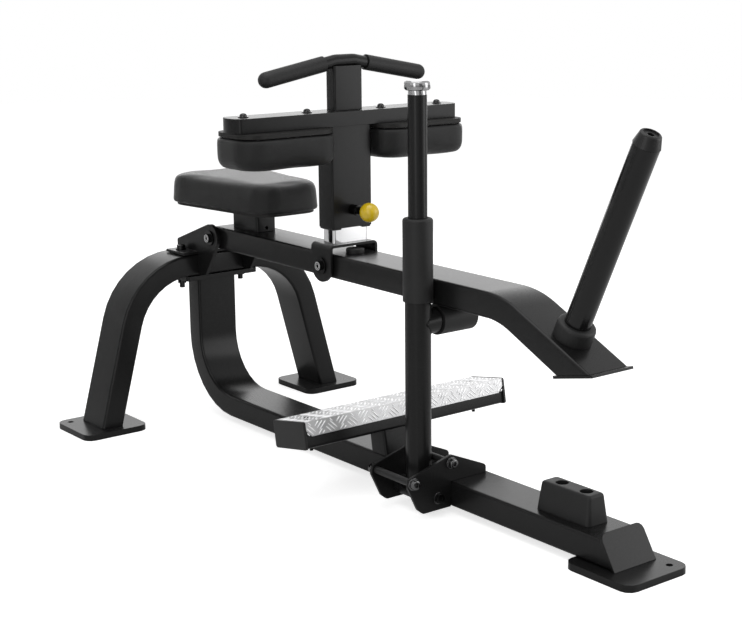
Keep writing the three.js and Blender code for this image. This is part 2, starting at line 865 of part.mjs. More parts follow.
function seatOutline(inset) {
  const { back, front, backHalf, frontHalf, backCorner, frontCorner } = seat;
  return [
    [frontHalf - inset, front + inset, frontCorner - inset],
    [backHalf - inset, back - inset, backCorner - inset],
    [inset - backHalf, back - inset, backCorner - inset],
    [inset - frontHalf, front + inset, frontCorner - inset],
  ];
}

function kneeOutline(inset) {
  const { back, front, corner } = kneePad;
  return [
    [kneePadOuter - inset, front + inset, corner - inset],
    [kneePadOuter - inset, back - inset, corner - inset],
    [kneePadInner + inset, back - inset, corner - inset],
    [kneePadInner + inset, front + inset, corner - inset],
  ];
}

function makeSeat() {
  const { wide, deep, high, front, drain, drainUp } = seatPost;
  const postBottom = leverTop + seam;
  const tube = upright(tubeSection({ ...box, wide, deep }), postBottom, postBottom + high);
  const hole = ontoFront(rod(drain, -overrun, overrun)).translate(0, -deep / 2, postBottom + drainUp);
  piece("seat_post", cut(tube, hole), powderCoat()).position.y = front + deep / 2;
  const boardTop = seatBottom + seat.board;
  const boardShape = outlined(seatOutline(seat.boardInset), [], steps.cushion);
  piece("seat_board", upright(boardShape, seatBottom, boardTop), board());
  piece("seat_cushion", padded(seatOutline, boardTop + seam, seatTop), leather());
}

// Saddle.

function makeSaddle() {
  const { thick, back, front, bend, round, pin, y } = saddle;
  const low = pivot.z - round;
  const outer = [
    [saddleOuter, low],
    [saddleOuter, saddleTop, bend + thick / 2],
    [-saddleOuter, saddleTop, bend + thick / 2],
    [-saddleOuter, low],
  ];
  const inner = [
    [-saddleInner, low],
    [-saddleInner, saddleTop - thick, bend / 2],
    [saddleInner, saddleTop - thick, bend / 2],
    [saddleInner, low],
  ];
  const bent = [outer, inner].flatMap((corners) => roundedOutline(corners, steps.cushion));
  const channel = along(new THREE.Shape(bent), front, back);
  const cheekRound = (back - front) / 2 - seam;
  const cheek = [
    [back, saddleTop + overrun],
    [front, saddleTop + overrun],
    [front, low, cheekRound],
    [back, low, cheekRound],
  ];
  const reach = saddleOuter + overrun;
  const sideView = across(outlined(cheek, [], steps.medium / 2), -reach, reach);
  const bore = ontoX(rod(pin + seam, -reach, reach)).translate(0, y, pivot.z);
  piece("saddle_bracket", cut(overlap(channel, sideView), bore), powderCoat());
}

function makeStopPad() {
  const { radius, high, round } = stopPad;
  const rounding = quarter(radius - round, high - round, round);
  const disc = turned([[0, 0], [radius, 0], ...rounding, [0, high]]);
  piece("saddle_stop_pad", disc, rubber()).position.set(0, stopPad.y, leverTop + seam);
}

function pinHoleHeights() {
  return Array.from({ length: heightPost.holes }, (_, k) => popPinHeight + k * heightPost.pitch);
}

function makeHeightPost() {
  const section = tubeSection({ ...heightPost, wide: postWide, deep: postDeep });
  const tube = upright(section, saddleTop + seam, beamBottom - heightPost.headroom);
  const holes = pinHoleHeights().map((z) =>
    ontoFront(rod(heightPost.holeRadius, -overrun, overrun, steps.small)).translate(0, -postDeep / 2, z),
  );
  piece("height_post", cut(tube, ...holes), chrome()).position.y = heightPost.y;
}

// Knee pad carriage.

function popPinHole() {
  const hole = ontoFront(rod(popPin.pin + running, -2 * overrun, 2 * overrun, steps.small));
  return hole.translate(0, -box.deep / 2, popPinHeight);
}

function makeSleeve() {
  const section = { ...box, corner: sleeve.corner };
  const tube = upright(tubeSection(section), sleeveBottom, beamBottom - seam);
  piece("carriage_sleeve", cut(tube, popPinHole()), powderCoat()).position.y = heightPost.y;
}

function makeBushing() {
  const shrink = 2 * box.wall + 2 * seam;
  const throatShape = rectangle(postWide + 2 * running, postDeep + 2 * running, heightPost.corner);
  const throat = new THREE.Path(roundedOutline(throatShape));
  const liner = outlined(rectangle(box.wide - shrink, box.deep - shrink, sleeve.corner - box.wall / 2), [throat]);
  const rimWide = box.wide - 2 * bushing.tabInset;
  const rimDeep = box.deep - 2 * bushing.tabInset;
  const rim = outlined(rectangle(rimWide, rimDeep, sleeve.corner), [throat]);
  const lipTop = sleeveBottom - seam;
  const lipLow = sleeveBottom - bushing.lip;
  const notchHalf = rimWide / 2 - bushing.tab;
  const notch = bar3([-notchHalf, -box.deep, lipLow - overrun], [notchHalf, box.deep, lipTop - seam]);
  const body = join(upright(liner, lipLow, lipLow + bushing.long), upright(rim, lipLow, lipTop));
  piece("sleeve_bushing", cut(body, notch, popPinHole()), plastic()).position.y = heightPost.y;
}

function padScrewHoles(...places) {
  return places.map((x) => circle(x, padScrew.y, padScrew.radius + seam));
}

function makeBeam() {
  const { bow, back, front } = beam;
  const middle = (back + front) / 2;
  const depth = back - front;
  const radius = (bow * bow + (depth / 2) ** 2) / (2 * bow);
  const sweep = Math.asin(depth / 2 / radius);
  const shape = new THREE.Shape();
  shape.absarc(beamHalf - radius, middle, radius, -sweep, sweep);
  shape.absarc(radius - beamHalf, middle, radius, Math.PI - sweep, Math.PI + sweep);
  shape.holes = padScrewHoles(padScrewNearX, padScrewFarX, -padScrewNearX, -padScrewFarX);
  piece("knee_beam", upright(shape, beamBottom, beamTop, steps.corner * 2), powderCoat());
}

function makeKneePads() {
  const holes = padScrewHoles(padScrewNearX, padScrewFarX);
  const boardShape = outlined(kneeOutline(kneePad.boardInset), holes, steps.cushion);
  const backing = upright(boardShape, kneeBoardBottom, kneeBoardBottom + kneePad.board);
  const pad = padded(kneeOutline, kneeBoardBottom - seam, kneePadBottom);
  for (const [side, sign] of sides) {
    piece(`knee_board_${side}`, backing.clone().scale(sign, 1, 1), board());
    piece(`knee_pad_${side}`, pad.clone().scale(sign, 1, 1), leather());
  }
}

// A point of the handlebar's middle line, so far along the slope from the end of its flat middle.
function onHandle(sign, out) {
  const x = handle.flat + out * Math.cos(handle.slope);
  return new THREE.Vector3(sign * x, 0, handleMiddle - out * Math.sin(handle.slope));
}

function makeHandle() {
  const run = Math.cos(handle.slope);
  const barEnd = (grip.outer - handle.flat) / run - grip.radius;
  const corners = [onHandle(-1, barEnd), onHandle(-1, 0), onHandle(1, 0), onHandle(1, barEnd)];
  const route = new Route(yAxis, corners, handle.bend, steps.corner);
  piece("handlebar", swept(roundSection(handle.radius, handle.wall), route), powderCoat()).position.y = handle.y;

  const tube = upright(tubeSection(handlePost), beamTop + seam, handlePostTop + handlePost.wall);
  const seatCut = swept(roundSection(handle.radius + seam), route).translate(0, handle.y - padScrew.y, 0);
  piece("handle_post", cut(tube, seatCut), powderCoat()).position.y = padScrew.y;

  const length = (grip.outer - grip.inner) / run;
  const bore = handle.radius + seam;
  const boreEnd = length - grip.radius + seam + weldDepth;
  const shape = turned([
    [bore, 0],
    [grip.radius, 0],
    ...quarter(0, length, grip.radius, steps.cushion),
    [0, boreEnd],
    [bore, boreEnd],
    [bore, 0],
  ]);
  for (const [side, sign] of sides) {
    const mesh = piece(`grip_${side}`, shape.clone(), rubber());
    mesh.rotation.y = sign * (Math.PI / 2 + handle.slope);
    mesh.position.copy(onHandle(sign, (grip.inner - handle.flat) / run)).setY(handle.y);
  }
}

function makePopPin() {
  const group = new THREE.Group();
  group.position.set(0, heightPost.y - box.deep / 2, popPinHeight);
  group.rotation.x = Math.PI / 2;
  machine.add(group);
  const { barrel, barrelLong, neck, neckLong, pin, engage, boreDeep } = popPin;
  const bore = pin + running;
  const collar = barrelLong + neckLong;
  piece(
    "pop_pin_barrel",
    turned([
      [bore, seam],
      [barrel, seam],
      [barrel, barrelLong],
      [neck, barrelLong],
      [neck, collar],
      [bore, collar],
      [bore, seam],
    ]),
    blackSteel(),
    group,
  );
  const postFace = (postDeep - box.deep) / 2;
  const neckFace = knob.centre - Math.sqrt(knob.radius ** 2 - knob.neck ** 2);
  piece("pop_pin_plunger", rod(pin, postFace - engage, neckFace + boreDeep - seam, steps.small), steel(), group);
  const start = Math.asin(knob.neck / knob.radius);
  const ball = Array.from({ length: steps.medium / 2 + 1 }, (_, k) => {
    const angle = start + (Math.PI - start) * (k / (steps.medium / 2));
    return [knob.radius * Math.sin(angle), knob.centre - knob.radius * Math.cos(angle)];
  });
  ball.at(-1)[0] = 0;
  const inside = neckFace + boreDeep;
  piece(
    "pop_pin_knob",
    turned([[0, inside], [pin + seam, inside], [pin + seam, neckFace], ...ball]),
    yellow(),
    group,
  );
}

// Rubber block on the rail.

function makeBlock() {
  const { long, half, high, draft, corner, round, y } = block;
  const outline = (inset) => rectangle(2 * (half - inset), long - 2 * inset, corner - inset / 2);
  const base = railTop + seam;
  const rings = [[0, 0], [draft, high - round]];
  for (let k = 1; k <= steps.corner; k += 1) {
    const angle = (Math.PI / 2) * (k / steps.corner);
    rings.push([draft + round * (1 - Math.cos(angle)), high - round * (1 - Math.sin(angle))]);
  }
  const body = lofted(rings.map(([inset, height]) => cushionRing(outline, inset, base + height)));
  const places = blockHole.yShares.map((share) => share * long);
  const top = base + high;
  const pockets = places.flatMap((at) => [
    rod(blockHole.radius, top - blockHole.deep, top + overrun).translate(0, at, 0),
    rod(blockHole.shank + seam, base - overrun, top, steps.small).translate(0, at, 0),
  ]);
  piece("bumper_block", cut(body, ...pockets), rubber()).position.y = y;
}

// Foot bar.

function makeFootBar() {
  const tilted = new THREE.Group();
  tilted.position.set(0, bar.y, bar.z);
  tilted.rotation.x = -bar.tilt;
  machine.add(tilted);
  const [halfDeep, halfHigh] = [box.wide / 2, box.deep / 2];
  const screwHoles = [-1, 1].map((sign) =>
    rod(barScrew.radius + seam, -box.wide, box.wide, steps.small).translate(sign * barScrewX, 0, 0),
  );
  const tube = across(tubeSection(box), -bar.half, bar.half);
  piece("foot_bar_tube", cut(tube, ...screwHoles), powderCoat(), tilted);

  const cover = [
    [halfDeep, halfHigh + seam],
    [halfDeep, halfHigh + seam + tread.thick],
    [-halfDeep - seam - tread.thick, halfHigh + seam + tread.thick],
    [-halfDeep - seam - tread.thick, halfHigh - tread.lip],
    [-halfDeep - seam, halfHigh - tread.lip],
    [-halfDeep - seam, halfHigh + seam],
  ];
  const sheet = across(outlined(cover), -treadHalf, treadHalf);
  const clips = [-1, 1].map((sign) => {
    const knife = bar3([-tread.chamfer, -box.wide, -tread.chamfer], [tread.chamfer, 0, tread.chamfer]);
    return knife.rotateY(Math.PI / 4).translate(sign * treadHalf, 0, halfHigh - tread.lip);
  });
  const top = halfHigh + seam + tread.thick;
  const sunk = top - barScrew.headHigh - seam;
  const sink = turned([
    [0, sunk],
    [barScrew.radius + seam, sunk],
    [barScrew.head + seam, top],
    [barScrew.head + seam, top + overrun],
    [0, top + overrun],
  ]);
  const sinks = [-1, 1].map((sign) => sink.clone().translate(sign * barScrewX, 0, 0));
  piece("foot_bar_tread", cut(sheet, ...clips, ...sinks, ...screwHoles), checkerPlate(), tilted);

  const endFace = across(outlined(rectangle(box.wide, box.deep, box.corner)), bar.half + seam, bar.half + bar.cap);
  const plugSize = rectangle(box.wide - 2 * box.wall - 2 * seam, box.deep - 2 * box.wall - 2 * seam, box.wall);
  const plug = across(outlined(plugSize), bar.half - bar.plug, bar.half + seam + weldDepth);
  const endCap = join(endFace, plug);
  for (const [side, sign] of sides) {
    piece(`foot_bar_end_cap_${side}`, endCap.clone().scale(sign, 1, 1), plastic(), tilted);
  }
}

function makeSupport() {
  const upwards = new THREE.Vector3(0, Math.sin(bar.tilt), Math.cos(bar.tilt));
  const low = new THREE.Vector3(0, support.y, railTop);
  const under = new THREE.Vector3(0, bar.y, bar.z).addScaledVector(upwards, -box.deep / 2 - seam);
  const reach = under.sub(low).dot(upwards);
  const ends = [-box.deep, reach].map((up) => low.clone().addScaledVector(upwards, up));
  const route = new Route(xAxis, ends, 0);
  const ground = bar3([-box.wide, support.y - box.wide, 0], [box.wide, support.y + box.wide, railTop + seam]);
  piece("foot_bar_support", cut(swept(tubeSection(box), route), ground), powderCoat());
}

// Swing catch.

function stopRodPlaces() {
  const inner = new THREE.Vector2(poleX + rodReach, stopRod.innerZ);
  const leaning = new THREE.Vector2(-Math.sin(pole.swing), Math.cos(pole.swing));
  const outwards = new THREE.Vector2(-Math.cos(pole.swing), -Math.sin(pole.swing));
  const swung = new THREE.Vector2(poleX, pole.z).addScaledVector(leaning, stopRod.outerAlong);
  return { inner, outer: swung.addScaledVector(outwards, rodReach) };
}

function makeCatchFrame() {
  const { inner, outer } = stopRodPlaces();
  const holes = [circle(poleX, pole.z, pivotPin.radius + seam)];
  const edge = -boxHalf - seam;
  const shape = outlined(
    [
      [edge, clampEnd.toe],
      [edge, railTop + seam],
      [boxHalf - clamp.short, railTop + seam],
      [boxHalf - clamp.short, railTop + clamp.shortHigh, clamp.shortCorner],
      [poleX + clamp.apexIn, railTop + clamp.apexUp, clamp.corner],
      [poleX - clampEnd.out, railTop + clampEnd.up, clampEnd.corner],
      [poleX - clampEnd.lowOut, clampEnd.low, clampEnd.corner],
      [poleX - clampEnd.heelOut, clampEnd.heel, clamp.corner],
      [poleX - clampEnd.toeOut, clampEnd.toe, clampEnd.corner],
    ],
    holes,
  );
  piece("catch_plate_front", along(shape, catchFront - clamp.thick, catchFront), powderCoat());
  piece("catch_plate_rear", along(shape, catchBack, catchBack + clamp.thick), powderCoat());

  const inside = clamp.gap / 2 - seam;
  const rodShape = ontoFront(rod(stopRod.radius, -inside, inside, steps.small));
  piece("catch_stop_rod_inner", rodShape.clone(), blackSteel()).position.set(inner.x, pole.y, inner.y);
  piece("catch_stop_rod_outer", rodShape.clone(), blackSteel()).position.set(outer.x, pole.y, outer.y);

  const face = clamp.gap / 2 + clamp.thick + seam;
  const { radius, head, headHigh, socket, socketDeep, tail } = pivotPin;
  const pin = turned([
    [0, -face - tail],
    [radius, -face - tail],
    [radius, face],
    [head, face],
    [head, face + headHigh],
    [socket, face + headHigh],
    [socket, face + headHigh - socketDeep],
    [0, face + headHigh - socketDeep],
  ]);
  piece("catch_pivot_pin", ontoFront(pin), blackSteel()).position.set(poleX, pole.y, pole.z);
}

function makePole() {
  const { radius, wall, drain, drainUp } = pole;
  const inside = clamp.gap / 2 - 2 * seam;
  const hub = ontoFront(rod(poleHubRadius, -inside, inside, steps.medium));
  const bore = ontoFront(rod(pivotPin.radius + running, -clamp.gap, clamp.gap));
  const top = poleTop.joint - pole.z;
  const shaft = turned(
    [
      [0, 0],
      [radius, 0],
      [radius, top],
      [0, top],
    ],
    steps.large,
  );
  const hollow = rod(radius - wall, poleHubRadius, top - poleTop.plug, steps.large);
  const vent = ontoFront(rod(drain, -2 * radius, 0, steps.small)).translate(0, 0, drainUp);
  const body = join(cut(shaft, hollow, vent), hub);
  piece("pole_lower_tube", cut(body, bore), powderCoat()).position.set(poleX, pole.y, pole.z);

  const upper = ring(poleTop.radius, poleTop.radius - poleTop.wall, poleTop.joint + seam, poleTop.top, steps.large);
  piece("pole_upper_tube", upper, powderCoat()).position.set(poleX, pole.y, 0);

  const { bottom, top: gripTop, radius: gripRadius, round } = poleGrip;
  piece(
    "pole_rubber_sleeve",
    turned(
      [
        [radius + seam, bottom],
        [gripRadius, bottom],
        ...quarter(gripRadius - round, gripTop - round, round),
        [poleTop.radius + seam, gripTop],
        [poleTop.radius + seam, poleTop.joint + seam],
        [radius + seam, poleTop.joint + seam],
        [radius + seam, bottom],
      ],
      steps.large,
    ),
    rubber(),
  ).position.set(poleX, pole.y, 0);

  const neckLow = poleTop.top + seam;
  const neckTop = neckLow + poleCap.neckHigh;
  const crown = neckTop + poleCap.flangeHigh;
  piece(
    "pole_cap",
    turned(
      [
        [0, neckLow - poleCap.plug],
        [poleTop.radius - poleTop.wall - seam, neckLow - poleCap.plug],
        [poleTop.radius - poleTop.wall - seam, neckLow],
        [poleCap.neck, neckLow],
        [poleCap.neck, neckTop],
        [poleCap.flange - poleCap.round / 2, neckTop],
        [poleCap.flange, neckTop + poleCap.round / 2],
        ...quarter(poleCap.flange - poleCap.round, crown - poleCap.round, poleCap.round),
        [0, crown],
      ],
      steps.large,
    ),
    chrome(),
  ).position.set(poleX, pole.y, 0);
}

function makeRoller() {
  const { round, pin, collar, groove, grooveRadius } = roller;
  const shaft = ontoX(
    turned(
      [
        [0, poleX],
        [collar, poleX],
        [collar, rollerStart - running - groove],
        [grooveRadius, rollerStart - running - groove],
        [grooveRadius, rollerStart - running],
        [pin, rollerStart - running],
        [pin, rollerPinEnd],
        [0, rollerPinEnd],
      ],
      steps.large,
    ),
  );
  const tube = rod(pole.radius + seam, -2 * collar, 2 * collar, steps.large).translate(poleX, 0, 0);
  piece("roller_axle", cut(shaft, tube), powderCoat()).position.set(0, pole.y, rollerZ);

  const inner = pin + running;
  piece(
    "roller",
    ontoX(
      turned(
        [
          [inner, rollerStart],
          [roller.radius, rollerStart],
          ...quarter(roller.radius - round, rollerEnd - round, round),
          [0, rollerEnd],
          [0, rollerPinEnd + running],
          [inner, rollerPinEnd + running],
          [inner, rollerStart],
        ],
        steps.large,
      ),
    ),
    rubber(),
  ).position.set(0, pole.y, rollerZ);
}

makeFootPlates();
makeRail();
makeArch();
makeBracket();
makeThroughBolts();
makePin("lever_axle", pivot.y, pivot.axleRadius, leverCapRadius, bracketOuter);
makeLever();
makeHubBushes();
makeEndPlate();
makeHorn();
makeSeat();
makeSaddle();
makePin("saddle_axle", saddle.y, saddle.pin, saddleCapRadius, saddleOuter);
makeStopPad();
makeHeightPost();
makeSleeve();
makeBushing();
makeBeam();
makeKneePads();
makeHandle();
makePopPin();
makeBlock();
makeFootBar();
makeSupport();
makeCatchFrame();
makePole();
makeRoller();

export default machine;
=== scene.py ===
# Looks of the seated calf raise machine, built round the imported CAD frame. Metres, +Z up.
import json
import math

import bmesh
import bpy
from mathutils import Matrix, Vector


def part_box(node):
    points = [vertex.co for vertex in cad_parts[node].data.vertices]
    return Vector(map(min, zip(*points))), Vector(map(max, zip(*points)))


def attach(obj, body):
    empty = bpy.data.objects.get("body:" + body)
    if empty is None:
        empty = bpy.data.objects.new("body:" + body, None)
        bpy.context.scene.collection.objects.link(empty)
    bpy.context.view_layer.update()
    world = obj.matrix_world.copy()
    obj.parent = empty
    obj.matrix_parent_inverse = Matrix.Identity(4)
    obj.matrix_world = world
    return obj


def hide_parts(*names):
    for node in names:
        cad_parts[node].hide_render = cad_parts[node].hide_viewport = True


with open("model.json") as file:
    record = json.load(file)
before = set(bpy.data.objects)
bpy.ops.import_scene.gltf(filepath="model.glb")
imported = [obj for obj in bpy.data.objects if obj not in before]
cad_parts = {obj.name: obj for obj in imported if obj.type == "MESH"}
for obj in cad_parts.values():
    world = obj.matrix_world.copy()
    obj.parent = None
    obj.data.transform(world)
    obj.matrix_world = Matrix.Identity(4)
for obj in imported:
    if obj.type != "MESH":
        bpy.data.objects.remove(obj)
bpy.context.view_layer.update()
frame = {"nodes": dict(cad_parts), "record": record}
nodes = frame["nodes"]
scene = bpy.context.scene
MM = 0.001


# Materials

class Shader:
    """A principled material and short ways to add the nodes that drive it."""

    def __init__(self, name, **values):
        self.material = bpy.data.materials.new(name)
        self.material.use_nodes = True
        self.tree = self.material.node_tree
        self.bsdf = self.tree.nodes["Principled BSDF"]
        for socket, value in values.items():
            self.bsdf.inputs[socket.replace("_", " ")].default_value = value
        self.place = self.node("ShaderNodeTexCoord").outputs["Object"]

    def node(self, kind, **settings):
        made = self.tree.nodes.new(kind)
        for name, value in settings.items():
            setattr(made, name, value)
        return made

    def link(self, source, target):
        self.tree.links.new(source, target)

    def noise(self, scale, detail, stretch=(1, 1, 1)):
        mapping = self.node("ShaderNodeMapping")
        mapping.inputs["Scale"].default_value = stretch
        self.link(self.place, mapping.inputs["Vector"])
        made = self.node("ShaderNodeTexNoise")
        made.inputs["Scale"].default_value = scale
        made.inputs["Detail"].default_value = detail
        self.link(mapping.outputs["Vector"], made.inputs["Vector"])
        return made.outputs["Fac"]

    def cells(self, scale):
        """Distance to the nearest edge between irregular cells."""
        made = self.node("ShaderNodeTexVoronoi", feature="DISTANCE_TO_EDGE")
        made.inputs["Scale"].default_value = scale
        self.link(self.place, made.inputs["Vector"])
        return made.outputs["Distance"]

    def remap(self, source, given, wanted):
        """Maps one range of values to another, and stops at its ends."""
        made = self.node("ShaderNodeMapRange")
        for name, value in zip(("From Min", "From Max", "To Min", "To Max"), (*given, *wanted)):
            made.inputs[name].default_value = value
        self.link(source, made.inputs["Value"])
        return made.outputs["Result"]

    def blend(self, share, first, second):
        made = self.node("ShaderNodeMix", data_type="RGBA")
        for end, value in (("A", first), ("B", second)):
            socket = [s for s in made.inputs if s.name == end and s.type == "RGBA"][0]
            socket.default_value = (*value, 1)
        self.link(share, made.inputs["Factor"])
        return [s for s in made.outputs if s.type == "RGBA"][0]

    def add(self, first, second, share=1.0):
        """First plus a share of second."""
        made = self.node("ShaderNodeMath", operation="MULTIPLY_ADD")
        made.inputs[1].default_value = share
        self.link(second, made.inputs[0])
        self.link(first, made.inputs[2])
        return made.outputs[0]

    def colour(self, source):
        self.link(source, self.bsdf.inputs["Base Color"])

    def mottled(self, cloud, dark, light):
        """Base colour that drifts between two shades with a noise."""
        self.colour(self.blend(self.remap(cloud, (0.3, 0.7), (0.0, 1.0)), dark, light))

    def rough(self, source):
        self.link(source, self.bsdf.inputs["Roughness"])

    def bump(self, height, distance, strength, edge=0.0):
        """Bump on the surface, and on sharp edges a small rounding."""
        made = self.node("ShaderNodeBump")
        made.inputs["Strength"].default_value = strength
        made.inputs["Distance"].default_value = distance
        self.link(height, made.inputs["Height"])
        if edge:
            rounding = self.node("ShaderNodeBevel", samples=6)
            rounding.inputs["Radius"].default_value = edge
            self.link(rounding.outputs["Normal"], made.inputs["Normal"])
        self.link(made.outputs["Normal"], self.bsdf.inputs["Normal"])


def grey(value):
    """A grey with the slightest cool cast."""
    return (value, value, value * 1.01)


def coated(name, shade, roughness, grain=1.0, specular=0.2, edge=1.2 * MM):
    """Sprayed and baked coat: fine orange peel, faint cloudiness and rounded edges."""
    s = Shader(name, Specular_IOR_Level=specular)
    cloud = s.noise(9.0, 4.0)
    speck = s.noise(1500.0, 2.0)
    s.mottled(cloud, grey(shade * 0.94), grey(shade * 1.07))
    s.rough(s.remap(s.add(speck, cloud, 0.25), (0.35, 0.9), (roughness - 0.03, roughness + 0.04)))
    peel = s.add(s.noise(620.0, 2.0), speck, 0.35)
    s.bump(peel, 0.12 * MM * grain, 0.55, edge)
    return s.material


def leather(name):
    """Black upholstery vinyl with a fine pebble grain."""
    s = Shader(name, Specular_IOR_Level=0.22, Sheen_Weight=0.04, Sheen_Roughness=0.4)
    pebble = s.cells(1250.0)
    crease = s.cells(520.0)
    cloud = s.noise(22.0, 5.0)
    s.mottled(cloud, grey(0.007), grey(0.011))
    s.rough(s.remap(s.add(cloud, pebble, 1.5), (0.3, 1.3), (0.27, 0.38)))
    grain = s.add(s.remap(pebble, (0.0, 0.25), (0.0, 1.0)), s.remap(crease, (0.0, 0.12), (0.0, 1.0)), 0.4)
    s.bump(s.add(grain, cloud), 0.18 * MM, 0.65)
    return s.material


def polished(name, bright):
    """Chrome plate with the faintest polishing haze."""
    s = Shader(name, Metallic=1.0)
    haze = s.noise(240.0, 4.0, stretch=(1, 1, 0.15))
    s.colour(s.blend(haze, grey(bright * 1.03), grey(bright * 0.95)))
    s.rough(s.remap(haze, (0.3, 0.75), (0.03, 0.1)))
    s.bump(haze, 0.01 * MM, 0.3)
    return s.material


def turned_steel(name, shade, roughness):
    """Machined steel with fine tool marks."""
    s = Shader(name, Metallic=1.0)
    marks = s.noise(900.0, 3.0, stretch=(0.12, 1, 0.12))
    cloud = s.noise(60.0, 4.0)
    s.colour(s.blend(cloud, grey(shade * 0.85), grey(shade * 1.1)))
    s.rough(s.remap(s.add(cloud, marks, 0.8), (0.5, 1.3), (roughness - 0.08, roughness + 0.12)))
    s.bump(marks, 0.03 * MM, 0.5, edge=0.6 * MM)
    return s.material


def moulded(name, shade, roughness, grain):
    """Moulded rubber or plastic with a fine spark texture."""
    s = Shader(name, Specular_IOR_Level=0.27)
    cloud = s.noise(30.0, 4.0)
    spark = s.noise(1300.0, 3.0)
    s.mottled(cloud, grey(shade * 0.88), grey(shade * 1.15))
    s.rough(s.remap(s.add(cloud, spark, 0.7), (0.5, 1.2), (roughness - 0.06, roughness + 0.08)))
    s.bump(spark, grain, 0.6, edge=1.0 * MM)
    return s.material


def tread_plate(name, bright):
    """Bright rolled aluminium, slightly scuffed."""
    s = Shader(name, Metallic=0.85)
    cloud = s.noise(45.0, 5.0)
    scuff = s.noise(700.0, 3.0, stretch=(0.1, 1, 1))
    s.mottled(cloud, grey(bright * 0.9), grey(bright * 1.08))
    s.rough(s.remap(s.add(cloud, scuff, 0.8), (0.5, 1.3), (0.28, 0.44)))
    s.bump(s.add(cloud, scuff, 0.5), 0.06 * MM, 0.5, edge=0.8 * MM)
    return s.material


def glossy_knob(name):
    """Yellow gloss plastic with a barely wavy skin."""
    s = Shader(name, Specular_IOR_Level=0.45, Coat_Weight=0.3, Coat_Roughness=0.1)
    cloud = s.noise(30.0, 3.0)
    s.mottled(cloud, (0.68, 0.47, 0.008), (0.73, 0.51, 0.012))
    s.rough(s.remap(cloud, (0.3, 0.7), (0.26, 0.32)))
    s.bump(s.noise(260.0, 2.0), 0.02 * MM, 0.4)
    return s.material


def painted_board(name):
    """Black stained plywood: a faint grain under a satin stain."""
    s = Shader(name, Specular_IOR_Level=0.22)
    grain = s.noise(160.0, 5.0, stretch=(0.08, 1, 3))
    s.mottled(grain, (0.008, 0.0078, 0.0075), (0.015, 0.0145, 0.014))
    s.rough(s.remap(grain, (0.3, 0.7), (0.42, 0.6)))
    s.bump(grain, 0.1 * MM, 0.5, edge=1.2 * MM)
    return s.material


# One material for each slot of the record
materials = {
    "powder_coat": coated("powder_coat", 0.0085, 0.27),
    "gloss_black": coated("gloss_black", 0.006, 0.17, grain=0.2, specular=0.28),
    "chrome": polished("chrome", 0.72),
    "steel": turned_steel("steel", 0.4, 0.24),
    "black_steel": turned_steel("black_steel", 0.035, 0.2),
    "checker_plate": tread_plate("checker_plate", 0.5),
    "upholstery": leather("upholstery"),
    "board": painted_board("board"),
    "rubber": moulded("rubber", 0.0125, 0.5, grain=0.1 * MM),
    "plastic": moulded("plastic", 0.0105, 0.38, grain=0.05 * MM),
    "yellow_knob": glossy_knob("yellow_knob"),
}

# Finishes of single pieces
smoked_chrome = polished("smoked_chrome", 0.34)
satin_rod = coated("satin_rod", 0.022, 0.36)
# Raised tread bars: a much brighter copy of the tread metal than the sheet, a painted highlight for the
# light that the raised bars catch.
highlit_bars = tread_plate("highlit_bars", 0.9)
dark_gloss = coated("dark_gloss", 0.003, 0.1, grain=0.2, specular=0.5, edge=0.4 * MM)
bright_black = turned_steel("bright_black", 0.13, 0.2)
bare_rim = turned_steel("bare_rim", 0.85, 0.3)


# Shading of the CAD solids: facets of round stretches shade as one curve

SHARP_ANGLE = math.radians(50)
WELD = 0.02 * MM


def rounding_group():
    """Geometry nodes that shade smoothly across every edge flatter than the sharp angle."""
    group = bpy.data.node_groups.new("round_stretches", "GeometryNodeTree")
    group.interface.new_socket("Geometry", in_out="INPUT", socket_type="NodeSocketGeometry")
    group.interface.new_socket("Geometry", in_out="OUTPUT", socket_type="NodeSocketGeometry")
    make = group.nodes.new
    start, end = make("NodeGroupInput"), make("NodeGroupOutput")
    merge = make("GeometryNodeMergeByDistance")
    merge.inputs["Distance"].default_value = WELD
    faces, edges = make("GeometryNodeSetShadeSmooth"), make("GeometryNodeSetShadeSmooth")
    edges.domain = "EDGE"
    angle = make("GeometryNodeInputMeshEdgeAngle")
    sharp = make("FunctionNodeCompare")
    sharp.operation = "LESS_THAN"
    sharp.inputs["B"].default_value = SHARP_ANGLE
    join = group.links.new
    join(start.outputs[0], merge.inputs["Geometry"])
    join(merge.outputs["Geometry"], faces.inputs["Geometry"])
    join(faces.outputs["Geometry"], edges.inputs["Geometry"])
    join(angle.outputs["Unsigned Angle"], sharp.inputs["A"])
    join(sharp.outputs["Result"], edges.inputs["Shade Smooth"])
    join(edges.outputs["Geometry"], end.inputs[0])
    return group


rounded = rounding_group()


def shade(obj):
    """Smooth curves, and flat faces that stay flat up to their edges."""
    modifier = obj.modifiers.new("round_stretches", "NODES")
    modifier.node_group = rounded
    flat = obj.modifiers.new("flat_faces", "WEIGHTED_NORMAL")
    flat.mode = "FACE_AREA"
    flat.weight = 100
    flat.keep_sharp = True


slots = {part["node"]: part["material_slot"] for part in frame["record"]["subparts"]}
finishes = {
    "pole_cap": smoked_chrome,
    "catch_stop_rod_inner": satin_rod,
    "catch_stop_rod_outer": satin_rod,
}
for name, node in nodes.items():
    node.data.materials.clear()
    node.data.materials.append(finishes.get(name, materials[slots[name]]))
    shade(node)


# New pieces

def linked(name, mesh):
    """An object in the scene from a bmesh, which is freed."""
    data = bpy.data.meshes.new(name)
    mesh.to_mesh(data)
    mesh.free()
    made = bpy.data.objects.new(name, data)
    scene.collection.objects.link(made)
    return made


